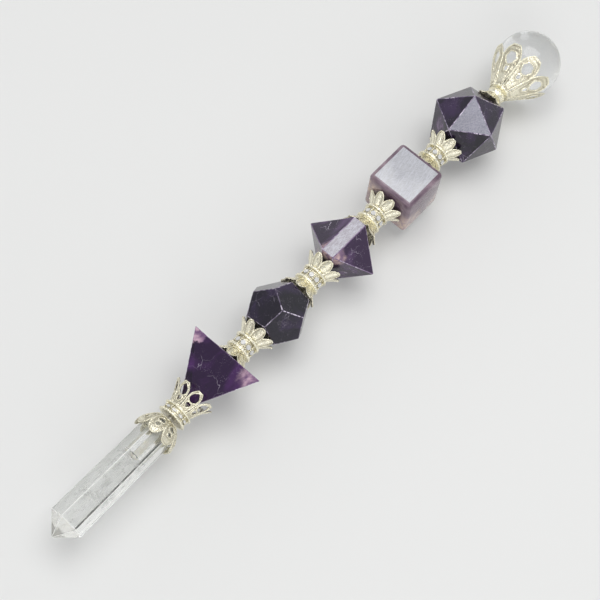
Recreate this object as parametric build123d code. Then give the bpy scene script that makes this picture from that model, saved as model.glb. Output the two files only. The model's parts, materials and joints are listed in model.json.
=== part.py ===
from build123d import *
import math
import os

# A crystal wand: a clear pointed quartz, five purple stones cut as regular solids and a clear ball,
# threaded on one metal rod between stamped metal bead caps.
#
# All pieces are built on their own axis, standing up: Z is the distance from the wand's point and
# X is the side that faces up when the wand lies down. The last step lays them along the world X
# axis, with the point toward +X. A roll is an angle about the axis, from up toward +Y.
# Lengths are in millimetres and angles in degrees.

# ---- Clear quartz point
point_length = 41.3
point_shoulder_width = 10.6
point_back_width = 9.9
point_cut_height = 4.9
point_apex_width = 0.5
point_seat_width = 6.0
point_seat_length = 3.2
point_roll = 51.0
point_socket_diameter = 3.4
point_socket_depth = 13.3

# ---- Purple stones, named after their shapes, in order from the point
tetrahedron_edge = 24.0
tetrahedron_blunting = 3.3
dodecahedron_edge = 6.85
dodecahedron_roll = -17.5
octahedron_edge = 17.0
octahedron_flat_width = 4.2
cube_side = 15.3
cube_edge_radius = 0.6
icosahedron_edge = 12.6
icosahedron_roll = -6.0
stone_edge_radius = 0.2

# ---- Clear ball
ball_diameter = 20.0
ball_socket_diameter = 3.4
ball_socket_depth = 6.0

# ---- Rod and cement
rod_diameter = 2.0
rod_end_gap = 0.8
bore_clearance = 0.1
cement_clearance = 0.05

# ---- Sheet metal and stations between the stones
sheet = 0.5
petal_count = 8
seat_gap = 0.2
trumpet_hollow = 0.25
petal_margin = 0.1

lotus_depth = 3.9
lotus_hub_radius = 2.9
lotus_tip_radius = 6.1
lotus_bell_depth = 1.3
lotus_petal_width = 3.4

small_lotus_depth = 3.4
small_lotus_hub_radius = 2.3
small_lotus_tip_radius = 5.2
small_lotus_bell_depth = 1.1
small_lotus_petal_width = 2.9

# ---- Rondelle: a metal spool with a ring of small set crystals
rondelle_length = 4.4
rondelle_radius = 3.9
rondelle_rim = 0.7
crystal_count = 10
crystal_width = 1.6
crystal_height = 0.55
crystal_corner = 0.35
crystal_draft = 30.0
crystal_clearance = 0.08
crystal_recess = 0.15
post_width = 0.3

# ---- Cap over the back of the quartz point
flower_overhang = 5.6
flower_hub_radius = 3.3
flower_bell_radius = 5.6
flower_tip_radius = 6.3
flower_bell_length = 3.6
flower_petal_width = 4.0
flower_hole_radius = 0.55
flower_gap = 1.4

# ---- Collar and loops toward the tetrahedron
collar_length = 2.9
collar_radius = 4.3
point_loop_hub_radius = 3.5
point_loop_length = 6.4
point_loop_tip_radius = 6.9
point_loop_width = 3.7
point_loop_rim = 0.7
point_loop_bell_length = 1.0
point_loop_blunt_gap = 2.1

# ---- Neck bead and loops around the ball
neck_length = 2.6
neck_radius = 2.7
ball_loop_hub_radius = 3.1
ball_loop_setback = 3.9
ball_loop_shortfall = 2.8
ball_loop_width = 6.4
ball_loop_rim = 1.9
ball_loop_bell_length = 1.2
ball_cap_clearance = 0.15

# ---- Worked-out sizes of the stones
golden = (1 + math.sqrt(5)) / 2
tetrahedron_inradius = tetrahedron_edge / (2 * math.sqrt(6))
tetrahedron_circumradius = 3 * tetrahedron_inradius
dodecahedron_inradius = dodecahedron_edge * math.sqrt(250 + 110 * math.sqrt(5)) / 20
octahedron_inradius = octahedron_edge / math.sqrt(6)
octahedron_flat_depth = octahedron_flat_width / (2 * math.sqrt(2))
octahedron_half_length = octahedron_edge / 2 - octahedron_flat_depth
icosahedron_inradius = icosahedron_edge * golden ** 2 / (2 * math.sqrt(3))

# ---- Stations along the axis, as distances from the point
flower_hub_end = point_length + sheet
collar_start = flower_hub_end + flower_gap
collar_end = collar_start + collar_length
point_loop_hub_end = collar_end + sheet
tetrahedron_start = point_loop_hub_end + point_loop_blunt_gap
tetrahedron_centre = tetrahedron_start - tetrahedron_blunting + tetrahedron_circumradius
junction_length = 2 * (seat_gap + lotus_depth) + rondelle_length
junction_1 = tetrahedron_centre + tetrahedron_inradius
dodecahedron_centre = junction_1 + junction_length + dodecahedron_inradius
junction_2 = dodecahedron_centre + dodecahedron_inradius
octahedron_centre = junction_2 + junction_length + octahedron_half_length
junction_3 = octahedron_centre + octahedron_half_length
cube_centre = junction_3 + junction_length + cube_side / 2
junction_4 = cube_centre + cube_side / 2
icosahedron_centre = junction_4 + junction_length + icosahedron_inradius
small_lotus_start = icosahedron_centre + icosahedron_inradius + seat_gap
neck_start = small_lotus_start + small_lotus_depth
ball_loop_start = neck_start + neck_length
ball_front = ball_loop_start + sheet + ball_loop_setback
ball_radius = ball_diameter / 2
ball_centre = ball_front + ball_radius
wand_length = ball_front + ball_diameter

# ---- Rod and sockets
rod_radius = rod_diameter / 2
bore_radius = rod_radius + bore_clearance
point_socket_bottom = point_length - point_socket_depth
rod_start = point_socket_bottom + rod_end_gap
ball_socket_bottom = ball_front + ball_socket_depth
rod_end = ball_socket_bottom - rod_end_gap

pieces = {}


def rod_space(start, end, radius=bore_radius):
    """The drilled space that the rod or its cement needs, with a little to spare at both ends."""
    spare = 1
    return Pos(0, 0, start - spare) * cylinder_up(radius, end - start + 2 * spare)


def cylinder_up(radius, height):
    return Cylinder(radius, height, align=(Align.CENTER, Align.CENTER, Align.MIN))


def cut_stone(directions, distance, start_size):
    """A block cut by one plane for each direction, all at one distance from the middle."""
    stone = Box(start_size, start_size, start_size)
    for direction in directions:
        face_normal = Vector(*direction).normalized()
        cut = Plane(origin=face_normal * distance, z_dir=face_normal)
        stone = split(stone, bisect_by=cut, keep=Keep.BOTTOM)
    return stone


def ring_directions(count, first, rise):
    """Directions spaced evenly about the axis, whose unit vectors all rise by the same amount."""
    spread = math.sqrt(1 - rise ** 2)
    angles = [math.radians(first + step * 360 / count) for step in range(count)]
    return [(spread * math.cos(angle), spread * math.sin(angle), rise) for angle in angles]


def worn(stone):
    """The stone with its sharp edges slightly rounded by handling."""
    return fillet(stone.edges(), stone_edge_radius)


def tetrahedron():
    """One corner to the point, the face behind it square to the rod, one corner straight down."""
    sides = ring_directions(3, 0, -1 / 3)
    stone = cut_stone(sides + [(0, 0, 1)], tetrahedron_inradius, 4 * tetrahedron_edge)
    corner_cut = Plane(origin=(0, 0, tetrahedron_blunting - tetrahedron_circumradius), z_dir=(0, 0, -1))
    return worn(split(stone, bisect_by=corner_cut, keep=Keep.BOTTOM))


def dodecahedron():
    """Drilled through two opposite faces."""
    slope = 1 / math.sqrt(5)
    front = ring_directions(5, dodecahedron_roll, -slope)
    rear = ring_directions(5, dodecahedron_roll + 36, slope)
    faces = front + rear + [(0, 0, -1), (0, 0, 1)]
    return worn(cut_stone(faces, dodecahedron_inradius, 6 * dodecahedron_edge))


def octahedron():
    """Two corners point sideways, and the four edges between the other corners are ground flat."""
    around = [(1, 0, 0), (-1, 0, 0), (0, 0, 1), (0, 0, -1)]
    faces = []
    for x, y, z in around:
        faces.append((math.sqrt(2) * x, 1, math.sqrt(2) * z))
        faces.append((math.sqrt(2) * x, -1, math.sqrt(2) * z))
    stone = cut_stone(faces, octahedron_inradius, 3 * octahedron_edge)
    flats = cut_stone(around, octahedron_half_length, 3 * octahedron_edge)
    return worn(stone & flats)


def cube():
    return fillet(Box(cube_side, cube_side, cube_side).edges(), cube_edge_radius)


def icosahedron():
    """Drilled through two opposite faces. The roll places a corner of the face nearest the point."""
    signs = (-1, 1)
    faces = [(x, y, z) for x in signs for y in signs for z in signs]
    for a in signs:
        for b in signs:
            faces.append((a / golden, 0, b * golden))
            faces.append((a * golden, b / golden, 0))
            faces.append((0, a * golden, b / golden))
    stone = cut_stone(faces, icosahedron_inradius, 4 * icosahedron_edge)
    front_face = Vector(-1, -1, -1).normalized()
    corner = Vector(0, 1, golden)
    across = corner - front_face * corner.dot(front_face)
    frame = Plane(origin=(0, 0, 0), x_dir=across, z_dir=front_face)
    return Rot(0, 0, icosahedron_roll) * frame.location.inverse() * worn(stone)


def drilled(stone, centre, half_length):
    placed = Pos(0, 0, centre) * stone
    return placed - rod_space(centre - half_length, centre + half_length)


def hexagon(station, width):
    return Pos(0, 0, station) * Rot(0, 0, point_roll) * RegularPolygon(width / 2, 6)


def quartz_point():
    """A six-sided bar that narrows a little to its back, with a cut point and a socket for the rod."""
    seat_start = point_length - point_seat_length
    sections = [(0, point_apex_width), (point_cut_height, point_shoulder_width)]
    sections += [(seat_start, point_back_width), (point_length, point_seat_width)]
    bar = None
    for (start, start_width), (end, end_width) in zip(sections, sections[1:]):
        piece = loft([hexagon(start, start_width), hexagon(end, end_width)])
        bar = piece if bar is None else bar + piece
    socket = Pos(0, 0, point_socket_bottom) * cylinder_up(point_socket_diameter / 2, point_length)
    return bar - socket


def socket_cement(bottom, top, socket_diameter, rod_from, rod_to):
    """The cement that fills a socket around the end of the rod."""
    outside = socket_diameter / 2 - cement_clearance
    plug = Pos(0, 0, bottom + cement_clearance) * cylinder_up(outside, top - bottom - cement_clearance)
    rod_hole = Pos(0, 0, rod_from) * cylinder_up(rod_radius + cement_clearance, rod_to - rod_from)
    return plug - rod_hole


def core_rod():
    return Pos(0, 0, rod_start) * cylinder_up(rod_radius, rod_end - rod_start)


def crystal_ball():
    socket = Pos(0, 0, ball_front - 1) * cylinder_up(ball_socket_diameter / 2, ball_socket_depth + 1)
    return Pos(0, 0, ball_centre) * Sphere(ball_radius) - socket


def bell(outside, inside):
    """A sheet turned about the axis, between two outlines given as (radius, height) curves."""
    start_rim = Line(outside @ 0, inside @ 0)
    end_rim = Line(outside @ 1, inside @ 1)
    outline = make_face([*outside.edges(), *inside.edges(), start_rim, end_rim])
    return revolve(outline, axis=Axis.Z)


def flared_bell(hub_radius, depth, tip_radius):
    """A trumpet that opens upward from a hub at height 0, narrower half way up than a plain cone."""
    middle_radius = (hub_radius + tip_radius) / 2 - trumpet_hollow
    outside = ThreePointArc((hub_radius, 0, 0), (middle_radius, 0, depth / 2), (tip_radius, 0, depth))
    inside = ThreePointArc((hub_radius - sheet, 0, 0), (middle_radius - sheet, 0, depth / 2),
                           (tip_radius - sheet, 0, depth))
    return bell(outside, inside)


def leaf(start, end, base_width, width):
    """A pointed petal outline, from its base at one height to its tip, widest just below half way."""
    length = end - start - petal_margin
    tip = (start + length, 0)
    widest = start + 0.42 * length
    upper = Spline((start, base_width / 2), (widest, width / 2), tip)
    lower = Spline((start, -base_width / 2), (widest, -width / 2), tip)
    return make_face([upper, lower, Line((start, -base_width / 2), (start, base_width / 2))])


def loop(start, end, base_width, width, rim):
    """A round-ended petal outline with a large oval opening near its tip and a small one below it."""
    end_radius = width / 2
    end_centre = end - petal_margin - end_radius
    stem = make_face(Polyline((start, base_width / 2), (end_centre, end_radius), (end_centre, -end_radius),
                              (start, -base_width / 2), close=True))
    petal = stem + Pos(end_centre, 0) * Circle(end_radius)
    opening = end_radius - rim
    oval = Pos(end_centre - 0.25 * opening, 0) * Ellipse(1.25 * opening, opening)
    small = 0.42 * opening
    pinhole = Pos(end_centre - 1.5 * opening - rim - small, 0) * Circle(small)
    return petal - oval - pinhole


def bead_cap(shell, outline, hub_radius, bell_depth, reach):
    """A stamped cap at height 0: a drilled hub plate, a short closed bell and a ring of petals.

    The petals are what is left of the bell where one outline, pushed straight out from the axis and
    repeated around it, crosses it.
    """
    side = Plane(origin=(hub_radius / 2, 0, 0), x_dir=(0, 0, 1), z_dir=(1, 0, 0))
    stamp = extrude(side * outline, reach)
    stamps = [Rot(0, 0, step * 360 / petal_count) * stamp for step in range(petal_count)]
    kept = cylinder_up(reach, bell_depth) + stamps
    cap = (shell & kept) + cylinder_up(hub_radius - sheet / 2, sheet)
    return cap - rod_space(0, sheet)


def lotus_cap():
    shell = flared_bell(lotus_hub_radius, lotus_depth, lotus_tip_radius)
    outline = leaf(lotus_bell_depth / 2, lotus_depth, 0.8 * lotus_petal_width, lotus_petal_width)
    return bead_cap(shell, outline, lotus_hub_radius, lotus_bell_depth, 2 * lotus_tip_radius)


def small_lotus_cap():
    shell = flared_bell(small_lotus_hub_radius, small_lotus_depth, small_lotus_tip_radius)
    outline = leaf(small_lotus_bell_depth / 2, small_lotus_depth, 0.8 * small_lotus_petal_width,
                   small_lotus_petal_width)
    return bead_cap(shell, outline, small_lotus_hub_radius, small_lotus_bell_depth,
                    2 * small_lotus_tip_radius)


def flower_cap():
    """The cap over the back of the quartz: a cone, then petals that stand a little off the bar."""
    cone_end = flower_overhang + sheet - flower_bell_length
    tip_height = flower_overhang + sheet
    outside = Polyline((flower_hub_radius, 0, 0), (flower_bell_radius, 0, flower_bell_length),
                       (flower_tip_radius, 0, tip_height))
    inside = Polyline((flower_hub_radius - sheet, 0, 0), (flower_bell_radius - sheet, 0, flower_bell_length),
                      (flower_tip_radius - sheet, 0, tip_height))
    shell = bell(outside, inside)
    closed = flower_bell_length - cone_end / 2
    outline = leaf(closed / 2, tip_height, 0.6 * flower_petal_width, flower_petal_width)
    cap = bead_cap(shell, outline, flower_hub_radius, closed, 2 * flower_tip_radius)
    hole = Rot(0, 90, 0) * cylinder_up(flower_hole_radius, 2 * flower_tip_radius)
    half_step = 180 / petal_count
    for step in range(petal_count):
        turn = Rot(0, 0, half_step + 2 * half_step * step)
        cap -= turn * Pos(0, 0, closed / 2 + sheet / 2) * hole
    return cap


def point_loop_cap():
    """The openwork cap that reaches over the blunted corner of the tetrahedron."""
    shell = flared_bell(point_loop_hub_radius, point_loop_length, point_loop_tip_radius)
    outline = loop(point_loop_bell_length / 2, point_loop_length, 0.7 * point_loop_width,
                   point_loop_width, point_loop_rim)
    return bead_cap(shell, outline, point_loop_hub_radius, point_loop_bell_length,
                    2 * point_loop_tip_radius)


def ball_loop_cap():
    """The openwork cap that holds the ball: a cone that runs onto the ball and follows it."""
    inner_radius = ball_radius + ball_cap_clearance
    outer_radius = inner_radius + sheet
    centre_height = sheet + ball_loop_setback + ball_radius
    tip_angle = -math.asin(ball_loop_shortfall / outer_radius)

    def outline_of(start_radius, radius):
        """A straight line from the hub that meets the circle around the ball, then the circle."""
        distance = math.hypot(start_radius, centre_height)
        lean = math.atan2(start_radius, centre_height)
        contact = math.acos(radius / distance) + lean
        touch = (radius * math.sin(contact), centre_height - radius * math.cos(contact))
        tip = (radius * math.cos(tip_angle), centre_height + radius * math.sin(tip_angle))
        between = (contact + math.pi / 2 + tip_angle) / 2
        middle = (radius * math.sin(between), centre_height - radius * math.cos(between))
        cone = Line((start_radius, 0, 0), (touch[0], 0, touch[1]))
        hug = ThreePointArc((touch[0], 0, touch[1]), (middle[0], 0, middle[1]), (tip[0], 0, tip[1]))
        return Wire([cone, hug])

    shell = bell(outline_of(ball_loop_hub_radius, outer_radius),
                 outline_of(ball_loop_hub_radius - sheet, inner_radius))
    tip_height = centre_height - ball_loop_shortfall
    outline = loop(ball_loop_bell_length / 2, tip_height, 0.36 * ball_loop_width, ball_loop_width,
                   ball_loop_rim)
    return bead_cap(shell, outline, ball_loop_hub_radius, ball_loop_bell_length, 2 * ball_radius)


def rondelle_spool(length, radius):
    """A drilled drum with two rims, and a thin post between each crystal and the next."""
    drum_radius = radius - crystal_height - crystal_clearance - crystal_recess
    spool = cylinder_up(drum_radius, length)
    spool += cylinder_up(radius, rondelle_rim)
    spool += Pos(0, 0, length - rondelle_rim) * cylinder_up(radius, rondelle_rim)
    post_reach = drum_radius + crystal_height
    post = Pos(post_reach / 2, 0, length / 2) * Box(post_reach, post_width, length - rondelle_rim)
    half_step = 180 / crystal_count
    for step in range(crystal_count):
        spool += Rot(0, 0, half_step + 2 * half_step * step) * post
    return spool - rod_space(0, length)


def rondelle_crystals(length, radius):
    """The ring of small cut crystals that stand between the rims."""
    drum_radius = radius - crystal_height - crystal_clearance - crystal_recess
    crystal_length = length - 2 * rondelle_rim - 2 * crystal_clearance
    outline = Rectangle(crystal_length, crystal_width)
    outline = chamfer(outline.vertices(), crystal_corner)
    crystal = extrude(outline, crystal_height, taper=crystal_draft)
    seat = Plane(origin=(drum_radius + crystal_clearance, 0, length / 2), x_dir=(0, 0, 1), z_dir=(1, 0, 0))
    first = seat * crystal
    return [Rot(0, 0, step * 360 / crystal_count) * first for step in range(crystal_count)]


def neck_bead():
    """A short bead, round in its length, between the last lotus cap and the ball's cap."""
    outline = Line((0, 0, 0), (0, 0, neck_length))
    end_radius = 0.75 * neck_radius
    lower = Line((0, 0, 0), (end_radius, 0, 0))
    upper = Line((end_radius, 0, neck_length), (0, 0, neck_length))
    belly = ThreePointArc((end_radius, 0, 0), (neck_radius, 0, neck_length / 2), (end_radius, 0, neck_length))
    bead = revolve(make_face([outline, lower, belly, upper]), axis=Axis.Z)
    return bead - rod_space(0, neck_length)


def opening_to_point(cap, station, roll):
    """Turns a cap so that it opens toward the wand's point, with its hub face at a station."""
    return Pos(0, 0, station) * Rot(0, 0, roll) * Rot(180, 0, 0) * cap


def opening_to_ball(cap, station, roll):
    return Pos(0, 0, station) * Rot(0, 0, roll) * cap


def add_rondelle(name, start, length, radius):
    pieces[f"{name}_rondelle"] = Pos(0, 0, start) * rondelle_spool(length, radius)
    crystals = rondelle_crystals(length, radius)
    pieces[f"{name}_crystals"] = Compound([Pos(0, 0, start) * crystal for crystal in crystals])


def add_junction(name, start):
    """Two lotus caps back to back on a rondelle, between one stone's face and the next's."""
    front_hub = start + seat_gap + lotus_depth
    rear_hub = front_hub + rondelle_length
    pieces[f"{name}_front_lotus_cap"] = opening_to_point(lotus_cap(), front_hub, 0)
    add_rondelle(name, front_hub, rondelle_length, rondelle_radius)
    pieces[f"{name}_rear_lotus_cap"] = opening_to_ball(lotus_cap(), rear_hub, half_petal)


half_petal = 180 / petal_count
tetrahedron_height = tetrahedron_circumradius + tetrahedron_inradius

pieces["quartz_point"] = quartz_point()
pieces["quartz_socket_cement"] = socket_cement(point_socket_bottom, point_length, point_socket_diameter,
                                               rod_start, point_length + 1)
pieces["quartz_flower_cap"] = opening_to_point(flower_cap(), flower_hub_end, 0)
pieces["core_rod"] = core_rod()
add_rondelle("collar", collar_start, collar_length, collar_radius)
pieces["tetrahedron_loop_cap"] = opening_to_ball(point_loop_cap(), collar_end, half_petal)

pieces["tetrahedron_stone"] = drilled(tetrahedron(), tetrahedron_centre, tetrahedron_height)
add_junction("tetra_dodeca", junction_1)
pieces["dodecahedron_stone"] = drilled(dodecahedron(), dodecahedron_centre, dodecahedron_inradius)
add_junction("dodeca_octa", junction_2)
pieces["octahedron_stone"] = drilled(octahedron(), octahedron_centre, octahedron_half_length)
add_junction("octa_cube", junction_3)
pieces["cube_stone"] = drilled(cube(), cube_centre, cube_side / 2)
add_junction("cube_icosa", junction_4)
pieces["icosahedron_stone"] = drilled(icosahedron(), icosahedron_centre, icosahedron_inradius)

pieces["icosahedron_lotus_cap"] = opening_to_point(small_lotus_cap(), neck_start, 0)
pieces["neck_bead"] = Pos(0, 0, neck_start) * neck_bead()
pieces["ball_loop_cap"] = opening_to_ball(ball_loop_cap(), ball_loop_start, half_petal)
pieces["crystal_ball"] = crystal_ball()
pieces["ball_socket_cement"] = socket_cement(ball_front, ball_socket_bottom, ball_socket_diameter,
                                             ball_front - 1, rod_end)

# The wand lies on its lowest piece, so the axis stands as high as that piece reaches below it.
axis_height = -min(piece.bounding_box().min.X for piece in pieces.values())
middle = Plane(origin=(wand_length / 2, 0, axis_height), x_dir=(0, 0, 1), z_dir=(-1, 0, 0))

os.makedirs("parts", exist_ok=True)
for name, piece in pieces.items():
    export_step(middle.location * piece, f"parts/{name}.step")
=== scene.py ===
import json
import math

import bmesh
import bpy
from bpy.props import FloatProperty, FloatVectorProperty, IntProperty, PointerProperty
from bpy.types import Operator, Panel, PropertyGroup
from mathutils import Matrix, Quaternion, Vector

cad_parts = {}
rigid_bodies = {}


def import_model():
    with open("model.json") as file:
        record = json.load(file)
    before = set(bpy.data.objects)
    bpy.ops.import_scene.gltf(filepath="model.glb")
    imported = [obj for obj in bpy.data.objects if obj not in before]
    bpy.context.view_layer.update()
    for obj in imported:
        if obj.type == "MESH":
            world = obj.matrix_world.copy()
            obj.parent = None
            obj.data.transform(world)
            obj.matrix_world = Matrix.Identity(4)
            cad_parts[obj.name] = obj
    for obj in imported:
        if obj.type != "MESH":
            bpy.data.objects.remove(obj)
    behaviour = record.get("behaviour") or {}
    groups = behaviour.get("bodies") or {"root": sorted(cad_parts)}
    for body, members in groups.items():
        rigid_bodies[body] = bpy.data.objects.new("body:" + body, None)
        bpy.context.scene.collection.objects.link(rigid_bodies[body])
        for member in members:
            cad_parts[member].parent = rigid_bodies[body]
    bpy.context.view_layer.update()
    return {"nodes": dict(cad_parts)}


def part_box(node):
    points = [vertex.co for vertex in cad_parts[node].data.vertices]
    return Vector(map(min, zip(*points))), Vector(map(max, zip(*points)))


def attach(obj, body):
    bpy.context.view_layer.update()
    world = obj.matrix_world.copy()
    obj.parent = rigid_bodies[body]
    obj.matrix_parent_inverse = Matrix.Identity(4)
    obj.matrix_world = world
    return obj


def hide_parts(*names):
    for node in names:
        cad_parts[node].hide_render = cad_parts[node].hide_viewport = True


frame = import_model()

bl_info = {
    "name": "Crystal Wand",
    "version": (1, 0, 0),
    "blender": (4, 5, 0),
    "location": "3D View > Sidebar > Wand",
    "description": "Builds a crystal wand of cut stones, stamped metal caps, a quartz point and a clear ball",
    "category": "Add Mesh",
}

MM = 0.001
TOWARD_POINT = 1
TOWARD_BALL = -1
PETALS = 8
ROD_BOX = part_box("core_rod")
AXIS_HEIGHT = (ROD_BOX[0].z + ROD_BOX[1].z) / 2
ROD_RADIUS = (ROD_BOX[1].z - ROD_BOX[0].z) / 2
BORE_RADIUS = ROD_RADIUS + 0.1 * MM
SOCKET_CLEARANCE = 0.05 * MM
JUNCTIONS = ("tetra_dodeca", "dodeca_octa", "octa_cube", "cube_icosa")
END_DIRECTIONS = [Vector((1, 0, 0)), Vector((-1, 0, 0))]
CUBE_ROUNDING = 1.2 * MM

# Quartz point: radii to its corners, the seat that its cap covers, the cut point and the drill's tip
BACK_RADIUS = 4.95 * MM
SHOULDER_RADIUS = 5.3 * MM
SEAT_RADIUS = 3.0 * MM
SEAT_LENGTH = 3.2 * MM
CUT_HEIGHT = 4.9 * MM
DRILL_POINT = 1.2 * MM

# Camera: lens and sensor width in millimetres, distance in metres
CAMERA_LENS = 78.8
CAMERA_SENSOR = 36
CAMERA_DISTANCE = 0.364
CAMERA_ROLL = math.radians(8.35)


# ---- Sizes and colours that a user would change


def length(name, millimetres, description):
    return FloatProperty(name=name, description=description, default=millimetres * MM, unit="LENGTH")


def turn(name, degrees, description):
    return FloatProperty(name=name, description=description, default=math.radians(degrees), unit="ROTATION")


def colour(name, rgb, description):
    return FloatVectorProperty(name=name, description=description, default=rgb, subtype="COLOR", min=0, max=1)


class WandSizes(PropertyGroup):
    """Sizes of the details that the caps, stones and crystals carry."""

    sheet: length("Sheet", 0.42, "Thickness of the stamped sheet metal")
    rim_relief: length("Rim relief", 0.24, "Height of the raised rim along each petal")
    vein_relief: length("Vein relief", 0.26, "Height of the vein along the middle of each petal")
    stone_bevel: length("Stone bevel", 0.16, "Width of the worn edges of the stones")
    quartz_bevel: length("Quartz bevel", 0.14, "Width of the polished edges of the quartz")
    bead_radius: length("Bead radius", 0.24, "Radius of the small beads along the rims of the rondelles")
    bead_count: IntProperty(name="Beads", description="Beads along each rim", default=26, min=8)
    crystal_count: IntProperty(name="Crystals", description="Crystals set in each rondelle", default=10,
                               min=4)
    point_roll: turn("Point roll", 51, "Roll of the first corner of the quartz, from up toward the right")
    dodecahedron_roll: turn("Dodecahedron roll", -17.5, "Roll of its first face, from up toward the right")
    icosahedron_roll: turn("Icosahedron roll", -6, "Roll of its first corner, from up toward the right")


class WandColours(PropertyGroup):
    """Colours of the metal, the stones and the clear pieces."""

    metal: colour("Metal", (1.0, 0.96, 0.78), "Silver plate with a warm tint")
    # Tarnish of the random patches, also used as painted shade in the hollows, on the petal backs and on the
    # rondelle drums
    tarnish_and_shade: colour("Tarnish_and_shade", (0.20, 0.155, 0.075), "Darker plate in the hollows")
    frost: colour("Frost", (0.72, 0.64, 0.78), "Chipped edges and fracture veins of the stones")
    cement: colour("Cement", (0.86, 0.82, 0.70), "Resin in the sockets")
    floor: colour("Floor", (0.80, 0.80, 0.79), "Floor and backdrop")


def sizes():
    return bpy.context.scene.wand_sizes


def colours():
    return bpy.context.scene.wand_colours


# ---- Modelling helpers


def deselect():
    bpy.ops.object.select_all(action="DESELECT")


def added(name):
    """Names the primitive that was just added."""
    piece = bpy.context.object
    piece.name = name
    piece.data.name = name
    return piece


def work_on(piece):
    """Makes a piece the only selected one and the active one."""
    deselect()
    piece.select_set(True)
    bpy.context.view_layer.objects.active = piece


def open_edit(piece, kind="FACE"):
    work_on(piece)
    bpy.ops.object.mode_set(mode="EDIT")
    bpy.ops.mesh.select_mode(type=kind)
    bpy.ops.mesh.select_all(action="DESELECT")


def close_edit():
    bpy.ops.object.mode_set(mode="OBJECT")


def pick_faces(piece, keep):
    """Selects the faces of which keep(centre, normal) is true, and no others."""
    mesh = bmesh.from_edit_mesh(piece.data)
    for face in mesh.faces:
        face.select_set(bool(keep(face.calc_center_median(), face.normal)))
    mesh.select_flush_mode()
    bmesh.update_edit_mesh(piece.data)


def pick_corners(piece, keep):
    """Selects the vertices of which keep(place) is true, and no others."""
    mesh = bmesh.from_edit_mesh(piece.data)
    for corner in mesh.verts:
        corner.select_set(bool(keep(corner.co)))
    mesh.select_flush_mode()
    bmesh.update_edit_mesh(piece.data)


def fix_normals(piece):
    open_edit(piece)
    bpy.ops.mesh.select_all(action="SELECT")
    bpy.ops.mesh.remove_doubles(threshold=1e-6)
    bpy.ops.mesh.normals_make_consistent(inside=False)
    close_edit()


def apply_transform():
    """Applies the place, turn and scale of the selected pieces."""
    bpy.ops.object.transform_apply(location=True, rotation=True, scale=True)


def cut_away(place_on, outward):
    """Cuts the open piece by a plane, clears what lies outward of it and closes the cut, in edit mode."""
    bpy.ops.mesh.select_all(action="SELECT")
    bpy.ops.mesh.bisect(plane_co=place_on, plane_no=outward, clear_outer=True, use_fill=True, threshold=1e-7)


def raise_faces(rise, shrink=1.0):
    """Extrudes the selected faces along Z and scales them toward the axis, in edit mode."""
    bpy.ops.mesh.extrude_region_move(TRANSFORM_OT_translate={"value": (0, 0, rise)})
    if shrink != 1.0:
        bpy.ops.transform.resize(value=(shrink, shrink, 1), center_override=(0, 0, 0))


def add_modifier(piece, kind, **settings):
    """Adds a modifier with its settings and applies it at once."""
    work_on(piece)
    modifier = piece.modifiers.new(kind.title(), kind)
    for key, value in settings.items():
        setattr(modifier, key, value)
    bpy.ops.object.modifier_apply(modifier=modifier.name)


def subdivided(piece, levels):
    add_modifier(piece, "SUBSURF", levels=levels, render_levels=levels)


def smooth(piece, degrees=40):
    work_on(piece)
    bpy.ops.object.shade_smooth_by_angle(angle=math.radians(degrees))


def joined(name, pieces):
    deselect()
    for piece in pieces:
        piece.select_set(True)
    bpy.context.view_layer.objects.active = pieces[0]
    bpy.ops.object.join()
    return added(name)


def copy_of(piece, matrix=None):
    """A copy with its own mesh, moved by a matrix."""
    twin = piece.copy()
    twin.data = piece.data.copy()
    bpy.context.collection.objects.link(twin)
    if matrix is not None:
        twin.data.transform(matrix)
    return twin


def ring_of(piece, count):
    """Turns one piece about Z into a ring of copies, joined into one piece."""
    name = piece.name
    step = 2 * math.pi / count
    copies = [copy_of(piece, Matrix.Rotation(step * index, 4, "Z")) for index in range(count)]
    bpy.data.objects.remove(piece)
    return joined(name, copies)


def place(piece, start_x, toward, roll=0.0):
    """Lays a piece that was built standing on Z along the wand, its base at start_x, and applies it."""
    up = Vector((0, math.sin(roll), math.cos(roll)))
    along = Vector((toward, 0, 0))
    side = along.cross(up)
    turned = Matrix((up, side, along)).transposed().to_4x4()
    piece.matrix_world = Matrix.Translation((start_x, 0, AXIS_HEIGHT)) @ turned @ piece.matrix_world
    work_on(piece)
    apply_transform()


def stand_for(piece, node):
    """Puts a piece in the place of a CAD node and its ride."""
    piece.name = f"{node}_detailed"
    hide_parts(node)
    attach(piece, "root")


def finish(piece, material, node):
    """Gives a piece its one material and puts it in the place of a CAD node."""
    piece.data.materials.clear()
    piece.data.materials.append(material)
    stand_for(piece, node)


def put_metal(piece, node, toward, roll=0.0):
    """Lays a metal piece along the wand from the end of its CAD node that its base is at."""
    low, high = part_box(node)
    place(piece, low.x if toward == TOWARD_POINT else high.x, toward, roll)
    finish(piece, bpy.data.materials["plated_metal"], node)


def middle_x(node):
    low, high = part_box(node)
    return (low.x + high.x) / 2


# ---- Shader building


def fill(tree, socket, value):
    """Feeds a socket from another socket, or sets its value."""
    if isinstance(value, bpy.types.NodeSocket):
        tree.links.new(value, socket)
    else:
        socket.default_value = value


def shader_node(tree, kind, settings=None, **inputs):
    """Adds a node, sets its properties and fills its inputs, by name or, as in i0, by number."""
    made = tree.nodes.new(kind)
    for key, value in (settings or {}).items():
        setattr(made, key, value)
    for key, value in inputs.items():
        numbered = key[0] == "i" and key[1:].isdigit()
        fill(tree, made.inputs[int(key[1:]) if numbered else key.replace("_", " ")], value)
    return made


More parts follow.
